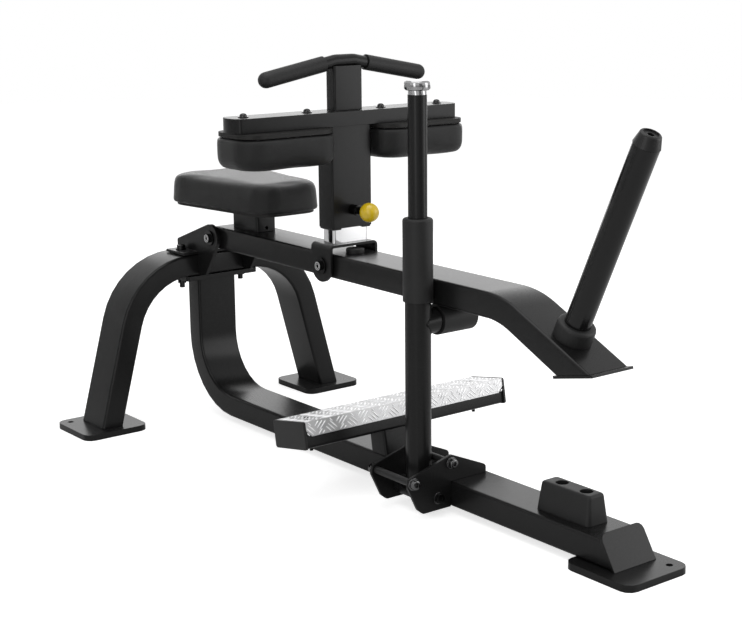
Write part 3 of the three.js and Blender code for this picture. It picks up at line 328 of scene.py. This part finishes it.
def new_piece(name, mesh_maker, slot_name, body, place=None, material=None):
    """Makes a mesh from a function that fills a bmesh, and lets it ride on a body."""
    mesh = bmesh.new()
    mesh_maker(mesh)
    bmesh.ops.recalc_face_normals(mesh, faces=mesh.faces)
    piece = linked(name, mesh)
    if place is not None:
        piece.data.transform(place)
    piece.data.materials.append(material or materials[slot_name])
    shade(piece)
    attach(piece, body)


def circle_points(radius, count):
    turns = [2 * math.pi * k / count for k in range(count)]
    return [(radius * math.cos(turn), radius * math.sin(turn)) for turn in turns]


def lathe(mesh, profile, steps=32, place=Matrix.Identity(4)):
    """Turns a list of (radius, height) round Z; a radius of 0 closes the end."""
    rings = []
    for radius, height in profile:
        points = circle_points(radius, steps) if radius else [(0, 0)]
        rings.append([mesh.verts.new(place @ Vector((x, y, height))) for x, y in points])
    for low, high in zip(rings, rings[1:]):
        for k in range(steps):
            corners = [low[k % len(low)], low[(k + 1) % len(low)]]
            corners += [high[(k + 1) % len(high)], high[k % len(high)]]
            unique = list(dict.fromkeys(corners))
            if len(unique) > 2:
                mesh.faces.new(unique)


def prism(mesh, rings, ends=True):
    """Joins rings of equal length, one after the other, and closes both ends."""
    count = len(rings[0])
    for near, far in zip(rings, rings[1:]):
        for k in range(count):
            after = (k + 1) % count
            mesh.faces.new([near[k], near[after], far[after], far[k]])
    if ends:
        mesh.faces.new(rings[0][::-1])
        mesh.faces.new(rings[-1])


def towards(point, direction):
    """A place at point whose +Z runs along direction."""
    return Matrix.Translation(point) @ Vector(direction).to_track_quat("Z", "Y").to_matrix().to_4x4()


def raised(place, high):
    return place @ Matrix.Translation((0, 0, high))


# Soft parts

HELD_DEPTH = 12 * MM
BOX_INSET = 1.5 * MM
SWELL_MARGIN = 3 * MM
FOAM_VOXEL = 4.5 * MM
LAST_FRAME = 20
EVENING_ROUNDS = 30


def apply_all(piece):
    """Replaces the piece's mesh by the result of its modifiers."""
    graph = bpy.context.evaluated_depsgraph_get()
    graph.update()
    result = bpy.data.meshes.new_from_object(piece.evaluated_get(graph), depsgraph=graph)
    piece.modifiers.clear()
    piece.data = result


def fill_out(data, low, high, base, grow, fuller, over_board):
    """Widens the foam, thickens it away from its board and wraps it down the board's edge."""
    centre = (low + high) / 2
    for vertex in data.vertices:
        offset = vertex.co - centre
        vertex.co.x = centre.x + offset.x * grow[0]
        vertex.co.y = centre.y + offset.y * grow[1]
        vertex.co.z = base + (vertex.co.z - base) * fuller
        vertex.co.z = min(max(vertex.co.z, low.z + BOX_INSET), high.z - BOX_INSET)
        if over_board:
            wrapped = max(0.0, 1 - (vertex.co.z - low.z) / HELD_DEPTH)
            vertex.co.x += offset.x * 0.025 * wrapped
            vertex.co.y += offset.y * 0.02 * wrapped
            vertex.co.z -= over_board * wrapped


def evened(data, moves):
    """Averages each vertex's move with its neighbours', so that the foam swells without creases."""
    near = [[] for _ in moves]
    for edge in data.edges:
        a, b = edge.vertices
        near[a].append(b)
        near[b].append(a)
    for _ in range(EVENING_ROUNDS):
        moves = [
            sum((moves[k] for k in group), moves[i]) / (len(group) + 1)
            for i, group in enumerate(near)
        ]
    return moves


def swell(piece, base, cap):
    """Blows the foam up as cloth that is held at its board, and keeps each point's move under cap."""
    start = [vertex.co.copy() for vertex in piece.data.vertices]
    held = piece.vertex_groups.new(name="held")
    for vertex in piece.data.vertices:
        weight = max(0.0, 1.0 - abs(vertex.co.z - base) / HELD_DEPTH)
        held.add([vertex.index], weight, "REPLACE")
    cloth = piece.modifiers.new("cloth", "CLOTH")
    cloth.settings.vertex_group_mass = "held"
    cloth.settings.use_pressure = True
    cloth.settings.uniform_pressure_force = 4
    cloth.settings.effector_weights.gravity = 0
    cloth.settings.quality = 6
    cloth.settings.tension_stiffness = 25
    cloth.settings.compression_stiffness = 25
    cloth.settings.bending_stiffness = 2
    cloth.point_cache.frame_start = 1
    cloth.point_cache.frame_end = LAST_FRAME
    for frame_number in range(1, LAST_FRAME + 1):
        scene.frame_set(frame_number)
    apply_all(piece)
    scene.frame_set(1)
    moves = [vertex.co - origin for vertex, origin in zip(piece.data.vertices, start)]
    for vertex, origin, move in zip(piece.data.vertices, start, evened(piece.data, moves)):
        vertex.co = origin + move * min(1.0, cap / max(move.length, 1e-9))


def keep_inside(data, low, high, margin):
    """Stops a soft piece at its CAD box, give or take a margin."""
    for vertex in data.vertices:
        for axis in range(3):
            vertex.co[axis] = min(max(vertex.co[axis], low[axis] - margin), high[axis] + margin)


def cushion(name, cad_name, body, board_below, cap, grow, fuller, over_board=0.0):
    """Foam cushion: the CAD form is filled out, remeshed, blown up and smoothed.

    Its cover reaches over_board down the edge of the board that it rests on.
    """
    low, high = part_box(cad_name)
    base = low.z if board_below else high.z
    data = nodes[cad_name].data.copy()
    data.name = name
    piece = bpy.data.objects.new(name, data)
    scene.collection.objects.link(piece)
    fill_out(data, low, high, base, grow, fuller, over_board)
    remesh = piece.modifiers.new("remesh", "REMESH")
    remesh.mode = "VOXEL"
    remesh.voxel_size = FOAM_VOXEL
    apply_all(piece)
    swell(piece, base, cap)
    soften = piece.modifiers.new("soften", "SMOOTH")
    soften.factor = 0.5
    soften.iterations = 3
    finer = piece.modifiers.new("finer", "SUBSURF")
    finer.levels = finer.render_levels = 1
    apply_all(piece)
    keep_inside(piece.data, low, high, max(over_board, SWELL_MARGIN))
    for polygon in piece.data.polygons:
        polygon.use_smooth = True
    piece.data.materials.clear()
    piece.data.materials.append(materials["upholstery"])
    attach(piece, body)
    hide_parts(cad_name)


cushion(
    "seat_foam", "seat_cushion", "lever", board_below=True,
    cap=4 * MM, grow=(1.03, 1.015), fuller=1.22, over_board=6 * MM,
)
for hand in ("left", "right"):
    cushion(
        f"knee_foam_{hand}", f"knee_pad_{hand}", "carriage", board_below=False,
        cap=3 * MM, grow=(1.005, 1.01), fuller=1.15,
    )


# Foot bar: raised bars of the tread and end covers, in the bar's own tilted frame

BAR_Y = -0.0164
BAR_Z = 0.1387
BAR_TILT = math.radians(10)
BAR_BOTTOM = -0.0251
TREAD_HALF = 0.252
TREAD_TOP = 0.0283
TREAD_FRONT = -0.0533
TREAD_BACK = 0.05
TREAD_LIP = -0.001
bar_place = Matrix.Translation((0, BAR_Y, BAR_Z)) @ Matrix.Rotation(-BAR_TILT, 4, "X")

# Pattern: columns of groups of three bars
COLUMN = 25.5 * MM
ROW = 24 * MM
LENS_LONG = 25 * MM
LENS_WIDE = 2.8 * MM
LENS_PITCH = 6.8 * MM
LENS_LEAN = 45
SHEET_MARGIN = 1.5 * MM
SHORTEST_LENS = 5 * MM
TOP_LENS_HIGH = 0.9 * MM
FRONT_LENS_HIGH = 1.3 * MM
LENS_SUNK = 0.1 * MM


def lens(mesh, centre, along, side, up, length, high):
    """A low rounded bar on a surface: pointed oval from above, arched from the side."""
    slices, arcs = 8, 4
    rings = []
    for i in range(slices + 1):
        t = -1 + 2 * i / slices
        swelling = max(0.0, 1 - t * t) ** 0.5
        ring = []
        for j in range(arcs + 1):
            angle = math.pi * j / arcs
            across = math.cos(angle) * LENS_WIDE / 2 * swelling
            rise = math.sin(angle) * high * swelling - LENS_SUNK
            ring.append(mesh.verts.new(centre + along * (t * length / 2) + side * across + up * rise))
        rings.append(ring)
    prism(mesh, rings, ends=False)


def clipped(a, b, u_range, v_range):
    """The stretch of a bar from a to b that lies inside the sheet, or None."""
    low, high = 0.0, 1.0
    for axis, (start, end) in enumerate((u_range, v_range)):
        step = b[axis] - a[axis]
        for bound, sign in ((start + SHEET_MARGIN, 1), (end - SHEET_MARGIN, -1)):
            gap = (bound - a[axis]) * sign
            speed = step * sign
            if speed > 0:
                low = max(low, gap / speed)
            else:
                high = min(high, gap / speed)
    if (high - low) * (b - a).length < SHORTEST_LENS:
        return None
    return a.lerp(b, low), a.lerp(b, high)


def bar_pattern(mesh, origin, u_axis, v_axis, up, u_range, v_range, high):
    """Columns of three-bar groups that lean left and right in turn, every other one half a row lower."""
    columns = int((u_range[1] - u_range[0]) / COLUMN) + 2
    rows = int((v_range[1] - v_range[0]) / ROW) + 3
    for i in range(columns):
        odd = i % 2
        lean = math.radians(LENS_LEAN if odd else -LENS_LEAN)
        along = Vector((math.cos(lean), math.sin(lean)))
        side = Vector((-along.y, along.x))
        for j in range(rows):
            u = u_range[0] + (i + 0.35) * COLUMN
            v = v_range[1] - (j - 0.2) * ROW - odd * ROW / 2
            for k in (-1, 0, 1):
                centre = Vector((u, v)) + side * (k * LENS_PITCH)
                reach = along * (LENS_LONG / 2)
                span = clipped(centre - reach, centre + reach, u_range, v_range)
                if span is None:
                    continue
                middle = (span[0] + span[1]) / 2
                lens(
                    mesh,
                    origin + u_axis * middle.x + v_axis * middle.y,
                    u_axis * along.x + v_axis * along.y,
                    u_axis * side.x + v_axis * side.y,
                    up,
                    (span[1] - span[0]).length,
                    high,
                )


def tread_bars(mesh):
    x, y, z = Vector((1, 0, 0)), Vector((0, 1, 0)), Vector((0, 0, 1))
    wide = (-TREAD_HALF, TREAD_HALF)
    bar_pattern(mesh, z * TREAD_TOP, x, y, z, wide, (TREAD_FRONT, TREAD_BACK), TOP_LENS_HIGH)
    bar_pattern(mesh, y * TREAD_FRONT, x, z, -y, wide, (TREAD_LIP, TREAD_TOP), FRONT_LENS_HIGH)


COVER_CORNER = 5 * MM
COVER_EDGE = 1.2 * MM
COVER_BACK = 0.0508
COVER_FRONT = TREAD_FRONT - 0.8 * MM
COVER_BOTTOM = -0.0258
COVER_TOP = TREAD_TOP + 0.6 * MM
COVER_GAP = 0.2 * MM
COVER_THICK = 0.6 * MM
CORNER_STEPS = 6


def cover_outline():
    """Rounded rectangle round bar and tread, seen along the bar."""
    front, back = COVER_FRONT + COVER_CORNER, COVER_BACK - COVER_CORNER
    bottom, top = COVER_BOTTOM + COVER_CORNER, COVER_TOP - COVER_CORNER
    outline = []
    for y, z, start in ((front, bottom, 180), (back, bottom, 270), (back, top, 0), (front, top, 90)):
        for k in range(CORNER_STEPS + 1):
            turn = math.radians(start + 90 * k / CORNER_STEPS)
            outline.append((y + COVER_CORNER * math.cos(turn), z + COVER_CORNER * math.sin(turn)))
    return outline


def end_covers(mesh):
    """Moulded covers over both ends of the foot bar, as high and deep as bar and tread together."""
    outline = cover_outline()
    middle_y, middle_z = (COVER_FRONT + COVER_BACK) / 2, (COVER_BOTTOM + COVER_TOP) / 2
    cap_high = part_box("foot_bar_end_cap_left")[1]
    inner, outer = TREAD_HALF + COVER_GAP, cap_high.x + COVER_THICK
    softened = COVER_EDGE * 0.3
    levels = ((inner, 0), (outer - COVER_EDGE, 0), (outer - softened, softened), (outer, COVER_EDGE))
    for way in (-1, 1):
        rings = []
        for x, inset in levels:
            share_y = 1 - inset * 2 / (COVER_BACK - COVER_FRONT)
            share_z = 1 - inset * 2 / (COVER_TOP - COVER_BOTTOM)
            rings.append([
                mesh.verts.new((
                    way * x,
                    middle_y + (y - middle_y) * share_y,
                    middle_z + (z - middle_z) * share_z,
                ))
                for y, z in outline
            ])
        prism(mesh, rings)


# Profiles and forms of screws, nuts and washers

def washer(radius, high):
    edge = high * 0.25
    return [
        (0, 0), (radius - edge, 0), (radius, edge),
        (radius, high - edge), (radius - edge, high), (0, high),
    ]


def socket_head(radius, high, socket, base):
    """Cap screw head with a chamfered rim and a socket."""
    rim = high * 0.12
    floor = base + high * 0.4
    top = base + high
    return [(0, base), (radius, base), (radius, top - rim), (radius - rim, top), (socket, top),
            (socket * 0.92, floor), (0, floor)]


def button_head(radius, high, socket, base):
    """Domed button head with a socket."""
    steps = 6
    floor = base + high * 0.45
    dome = []
    for k in range(steps + 1):
        turn = math.pi / 2 * k / (steps + 1)
        dome.append((socket + (radius - socket) * math.cos(turn), base + high * math.sin(turn)))
    return [(0, base), *dome, (socket, base + high), (socket * 0.92, floor), (0, floor)]


def countersunk_head():
    """Flat head that lies just below the sheet, with its socket."""
    foot, top, floor = -4.4 * MM, -0.3 * MM, -2.6 * MM
    return [(0, foot), (3.9 * MM, foot), (7.9 * MM, top), (2.7 * MM, top), (2.5 * MM, floor), (0, floor)]


def band(inner, outer, bottom, top):
    """Closed square section of a flat ring."""
    return [(inner, bottom), (outer, bottom), (outer, top), (inner, top), (inner, bottom)]


def thread(radius, start, end, pitch=1.25 * MM):
    """Profile of a threaded tail from start up to its end."""
    depth = pitch * 0.45
    points = [(radius, start)]
    for k in range(int((end - start) / pitch)):
        foot = start + k * pitch
        points += [(radius, foot + pitch * 0.25), (radius - depth, foot + pitch * 0.75)]
    return points + [(radius - depth, end), (0, end)]


def hex_nut(mesh, across_flats, high, place):
    """A chamfered hexagon, closed at both ends."""
    corner = across_flats / math.sqrt(3)
    chamfer = high * 0.14
    rings = []
    for share, height in ((0.9, 0), (1, chamfer), (1, high - chamfer), (0.9, high)):
        points = circle_points(corner * share, 6)
        rings.append([mesh.verts.new(place @ Vector((x, y, height))) for x, y in points])
    prism(mesh, rings)


def screw(mesh, place, washer_size, head, *head_size):
    """A washer and a screw head on it."""
    lathe(mesh, washer(*washer_size), place=place)
    lathe(mesh, head(*head_size, base=washer_size[1]), place=place)


def nut(mesh, place, washer_size, across_flats, high):
    """A washer and a nut on it."""
    lathe(mesh, washer(*washer_size), place=place)
    hex_nut(mesh, across_flats, high, raised(place, washer_size[1]))


# Screws, nuts and washers in their places

KNEE_SCREWS = (-0.2423, -0.0927, 0.0927, 0.2423)
KNEE_SCREW_Y = 0.139
KNEE_BEAM_TOP = 0.741
ARCH_BOLT_X = 0.079
ARCH_BOLT_Y = 0.6735
TOP_PLATE_BOTTOM = 0.32
CATCH_FRONT = -0.2568
CATCH_BACK = -0.1383
PIVOT_X = -0.082
PIVOT_Z = 0.038
PIVOT_BACK = -0.138
BUMPER_SCREWS = (-0.5699, -0.508)
BUMPER_SEAT = 0.1034
FOOT_BAR_SCREW_X = 0.2096
UPSIDE_DOWN = Matrix.Rotation(math.pi, 4, "X")


def knee_screws(mesh):
    for x in KNEE_SCREWS:
        place = Matrix.Translation((x, KNEE_SCREW_Y, KNEE_BEAM_TOP))
        screw(mesh, place, (10.5 * MM, 1.6 * MM), button_head, 7.6 * MM, 6 * MM, 2.6 * MM)


def arch_nuts(mesh):
    for x in (-ARCH_BOLT_X, ARCH_BOLT_X):
        place = Matrix.Translation((x, ARCH_BOLT_Y, TOP_PLATE_BOTTOM)) @ UPSIDE_DOWN
        nut(mesh, place, (12 * MM, 2 * MM), 19 * MM, 9 * MM)


def catch_bolts(mesh):
    """Screws in both ends of the stop rods, and washer and nut of the pivot pin."""
    thick, head, rim = 1.8 * MM, 9.2 * MM, 12 * MM
    for name in ("catch_stop_rod_inner", "catch_stop_rod_outer"):
        low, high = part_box(name)
        x, z = (low.x + high.x) / 2, (low.z + high.z) / 2
        for face, way in ((CATCH_FRONT, -1), (CATCH_BACK, 1)):
            place = towards((x, face, z), (0, way, 0))
            screw(mesh, place, (rim, thick), socket_head, head, 9 * MM, 4.2 * MM)
    lathe(mesh, band(head, rim, 0, thick), place=towards((PIVOT_X, CATCH_FRONT, PIVOT_Z), (0, -1, 0)))
    nut(mesh, towards((PIVOT_X, PIVOT_BACK, PIVOT_Z), (0, 1, 0)), (10 * MM, 1.5 * MM), 16 * MM, 7 * MM)


def bumper_screws(mesh):
    for y in BUMPER_SCREWS:
        place = Matrix.Translation((0, y, BUMPER_SEAT))
        screw(mesh, place, (11.5 * MM, 1.6 * MM), socket_head, 7.5 * MM, 7 * MM, 3.6 * MM)


def foot_bar_screws(mesh):
    """Countersunk screws through the tread, with nut and tail under the bar."""
    thread_start, thread_end = 6.5 * MM, 13 * MM
    for x in (-FOOT_BAR_SCREW_X, FOOT_BAR_SCREW_X):
        lathe(mesh, countersunk_head(), place=bar_place @ Matrix.Translation((x, 0, TREAD_TOP)))
        under = bar_place @ Matrix.Translation((x, 0, BAR_BOTTOM)) @ UPSIDE_DOWN
        nut(mesh, under, (8.5 * MM, 1.4 * MM), 12.5 * MM, 5.5 * MM)
        lathe(mesh, [(0, thread_start), *thread(3.8 * MM, thread_start, thread_end)], place=under)


def cap_rings(axle):
    """Bare edges of the round caps at both ends of an axle, which stand a hair proud."""
    proud = 0.4 * MM

    def build(mesh):
        for side, way in (("left", 1), ("right", -1)):
            low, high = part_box(f"{axle}_cap_{side}")
            face = high.x if way > 0 else low.x
            place = towards((face, (low.y + high.y) / 2, (low.z + high.z) / 2), (way, 0, 0))
            for radius, width in ((7.9 * MM, 1.3 * MM), (4.7 * MM, 1.0 * MM)):
                lathe(mesh, band(radius - width / 2, radius + width / 2, -proud, proud), place=place)
    return build


# The tread bars take the brighter metal, a painted highlight.
new_piece("foot_bar_tread_bars", tread_bars, "checker_plate", "frame", bar_place, highlit_bars)
new_piece("knee_pad_screws", knee_screws, "black_steel", "carriage", material=dark_gloss)
new_piece("top_plate_nuts", arch_nuts, "black_steel", "frame")
new_piece("catch_bolts", catch_bolts, "black_steel", "frame", material=bright_black)
new_piece("bumper_screws", bumper_screws, "black_steel", "frame", material=bright_black)
new_piece("foot_bar_screws", foot_bar_screws, "black_steel", "frame")
new_piece("foot_bar_end_covers", end_covers, "plastic", "frame", bar_place)
new_piece("lever_axle_rings", cap_rings("lever_axle"), "steel", "lever_pivot", material=bare_rim)
new_piece("saddle_axle_rings", cap_rings("saddle_axle"), "steel", "saddle", material=bare_rim)


# Camera, floor and light

SENSOR = 36
PHOTO_WIDE = 742
FOCAL_PIXELS = 1557.513
SHIFT_PIXELS = (-71.41, -4.76)
WHITE = (1, 1, 1, 1)
SOFT_LIGHT = 0.45
FLOOR_RADIUS = 9
MIDDLE = (0, 0, 0.4)


def set_camera():
    data = bpy.data.cameras.new("camera")
    data.sensor_fit = "HORIZONTAL"
    data.sensor_width = SENSOR
    data.lens = FOCAL_PIXELS * SENSOR / PHOTO_WIDE
    data.shift_x, data.shift_y = (shift / PHOTO_WIDE for shift in SHIFT_PIXELS)
    data.clip_end = 60
    camera = bpy.data.objects.new("camera", data)
    camera.location = (-1.88031, -2.42155, 1.03762)
    camera.rotation_euler = (math.radians(77.5), 0, -0.6960)
    scene.collection.objects.link(camera)
    scene.camera = camera


def by_ray(tree, plain, seen, mirrored):
    """One shader for camera rays, one for mirror and glass rays and one for all others."""
    path = tree.nodes.new("ShaderNodeLightPath")
    either = tree.nodes.new("ShaderNodeMath")
    either.operation = "MAXIMUM"
    tree.links.new(path.outputs["Is Glossy Ray"], either.inputs[0])
    tree.links.new(path.outputs["Is Transmission Ray"], either.inputs[1])
    for share, shader in ((either.outputs[0], mirrored), (path.outputs["Is Camera Ray"], seen)):
        mix = tree.nodes.new("ShaderNodeMixShader")
        tree.links.new(share, mix.inputs["Fac"])
        tree.links.new(plain, mix.inputs[1])
        tree.links.new(shader, mix.inputs[2])
        plain = mix.outputs[0]
    return plain


def set_world():
    """Soft light all round, on a white background for the camera and in reflections."""
    world = bpy.data.worlds.new("studio")
    world.use_nodes = True
    tree = world.node_tree
    soft = tree.nodes["Background"]
    white = tree.nodes.new("ShaderNodeBackground")
    for background, strength in ((soft, SOFT_LIGHT), (white, 1.0)):
        background.inputs["Color"].default_value = WHITE
        background.inputs["Strength"].default_value = strength
    tree.links.new(
        by_ray(tree, soft.outputs[0], white.outputs[0], white.outputs[0]),
        tree.nodes["World Output"].inputs["Surface"],
    )
    scene.world = world


def set_floor():
    """A pale floor that is a little brighter to the camera and in reflections."""
    mesh = bmesh.new()
    lathe(mesh, [(0, 0), (FLOOR_RADIUS, 0)], steps=64)
    floor = linked("floor", mesh)
    material = bpy.data.materials.new("floor")
    material.use_nodes = True
    tree = material.node_tree
    tree.nodes.remove(tree.nodes["Principled BSDF"])
    matt = tree.nodes.new("ShaderNodeBsdfDiffuse")
    matt.inputs["Color"].default_value = (0.8, 0.8, 0.8, 1)

    def brightened(strength):
        glow = tree.nodes.new("ShaderNodeEmission")
        glow.inputs["Color"].default_value = WHITE
        glow.inputs["Strength"].default_value = strength
        both = tree.nodes.new("ShaderNodeAddShader")
        tree.links.new(matt.outputs[0], both.inputs[0])
        tree.links.new(glow.outputs[0], both.inputs[1])
        return both.outputs[0]

    tree.links.new(
        by_ray(tree, matt.outputs[0], brightened(0.7), brightened(0.1)),
        tree.nodes["Material Output"].inputs["Surface"],
    )
    floor.data.materials.append(material)


def aimed(obj, place, aim):
    """Puts a light or a card at place, facing aim."""
    obj.location = place
    obj.rotation_euler = (Vector(aim) - Vector(place)).to_track_quat("-Z", "Y").to_euler()


def studio_card(name, place, aim, size, tone):
    """A grey or black card that is seen in reflections alone."""
    wide, high = size
    mesh = bmesh.new()
    corners = [(-1, -1), (1, -1), (1, 1), (-1, 1)]
    mesh.faces.new([mesh.verts.new((x * wide / 2, y * high / 2, 0)) for x, y in corners])
    card = linked(name, mesh)
    material = bpy.data.materials.new(name)
    material.use_nodes = True
    matt = material.node_tree.nodes["Principled BSDF"]
    matt.inputs["Base Color"].default_value = (tone, tone, tone, 1)
    matt.inputs["Specular IOR Level"].default_value = 0
    card.data.materials.append(material)
    aimed(card, place, aim)
    card.visible_camera = card.visible_diffuse = card.visible_shadow = card.visible_transmission = False


def area_light(name, place, size, power):
    data = bpy.data.lights.new(name, "AREA")
    data.shape = "RECTANGLE"
    data.size, data.size_y = size
    data.energy = power
    light = bpy.data.objects.new(name, data)
    scene.collection.objects.link(light)
    aimed(light, place, MIDDLE)


set_camera()
set_world()
set_floor()
area_light("top_box", (-0.3, -0.2, 3.0), (2.2, 2.2), 30)
area_light("left_box", (-2.5, -1.45, 1.2), (0.8, 2.2), 13)
area_light("right_box", (2.0, -1.9, 1.0), (1.3, 2.0), 20)
area_light("back_box", (1.7, 2.2, 1.15), (3.0, 1.5), 12)
studio_card("side_card", (-1.25, 1.1, 0.8), (0, 0.2, 0.8), (2.2, 1.6), 0.85)
studio_card("post_card", (-0.966, 1.336, 0.216), (-0.03, 0.07, 0.49), (0.26, 0.26), 0.01)
studio_card("front_card", (-0.4, -3.2, 0.9), (0, 0, 0.9), (1.5, 1.8), 0.4)

scene.view_settings.view_transform = "Standard"
